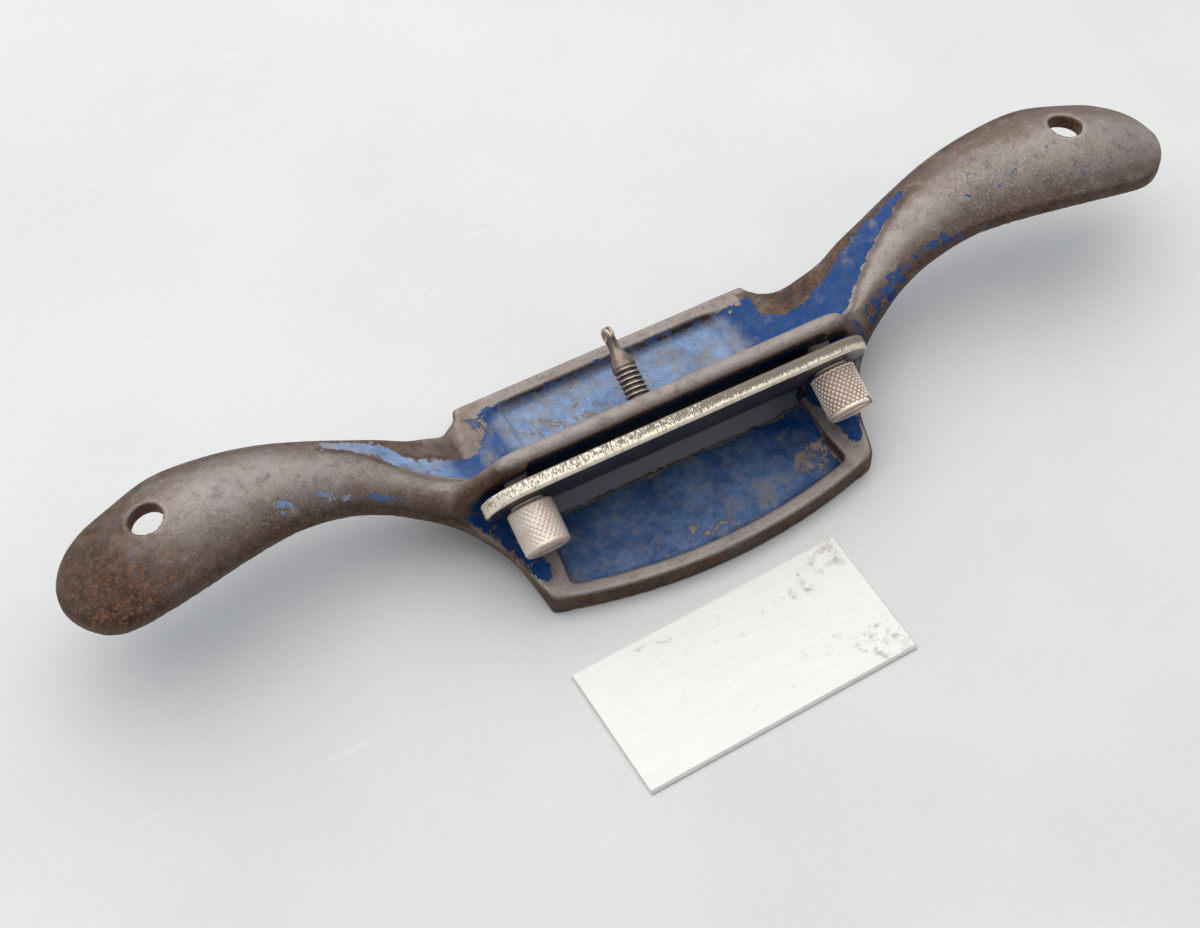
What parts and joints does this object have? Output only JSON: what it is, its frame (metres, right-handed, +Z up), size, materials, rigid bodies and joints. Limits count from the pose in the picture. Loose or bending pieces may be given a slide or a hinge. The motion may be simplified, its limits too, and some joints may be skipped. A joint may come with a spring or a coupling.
{
  "type": "scraper spokeshave",
  "caption": "Cast-iron cabinet scraper with raised side handles, a leaning blade bed, a screwed clamp bar, a rear bow screw and a loose steel blade.",
  "frame": {"origin": "on the sole face, on the centre line, 7.95 mm behind the foot of the blade bed", "axes": "+X along the two handles, -Y towards the front where the clamp bar and its knurled screws are, +Z up from the sole"},
  "size_m": [0.2828, 0.1077, 0.0386],
  "materials": {
    "painted_iron": "worn blue paint over brown-grey cast iron",
    "bar_nickel": "worn nickel plate",
    "screw_nickel": "dulled nickel plate, knurled",
    "bow_steel": "tarnished steel",
    "blade_steel": "bright ground steel"
  },
  "bodies": {
    "casting": {"body_casting": "painted_iron"},
    "clamp": {"clamp_bar": "bar_nickel"},
    "left_screw": {"left_clamp_screw": "screw_nickel"},
    "right_screw": {"right_clamp_screw": "screw_nickel"},
    "bow": {"bow_screw": "bow_steel"},
    "blade": {"scraper_blade": "blade_steel"}
  },
  "joints": [
    {"name": "clamp_slide", "type": "slide", "parent": "casting", "child": "clamp", "axis": [0, -0.9336, -0.3584], "range_m": [-0.0015, 0.003]},
    {"name": "left_clamp_screw_turn", "type": "hinge", "parent": "clamp", "child": "left_screw", "pos_m": [-0.03925, -0.01673, 0.02287], "axis": [0, -0.9336, -0.3584], "range_deg": [-426, 851]},
    {"name": "right_clamp_screw_turn", "type": "hinge", "parent": "clamp", "child": "right_screw", "pos_m": [0.03925, -0.01673, 0.02287], "axis": [0, -0.9336, -0.3584], "range_deg": [-426, 851]},
    {"name": "bow_screw_turn", "type": "hinge", "parent": "casting", "child": "bow", "pos_m": [0, -0.01082, 0.00747], "axis": [0, 0.9336, 0.3584], "range_deg": [-360, 360]},
    {"name": "blade_lift", "type": "slide", "parent": "casting", "child": "blade", "axis": [0, 0, 1], "range_m": [0, 0.05]}
  ],
  "couplings": [
    {"joint": "left_clamp_screw_turn", "follows": "clamp_slide", "rad_per_m": 4947.3},
    {"joint": "right_clamp_screw_turn", "follows": "clamp_slide", "rad_per_m": 4947.3}
  ]
}
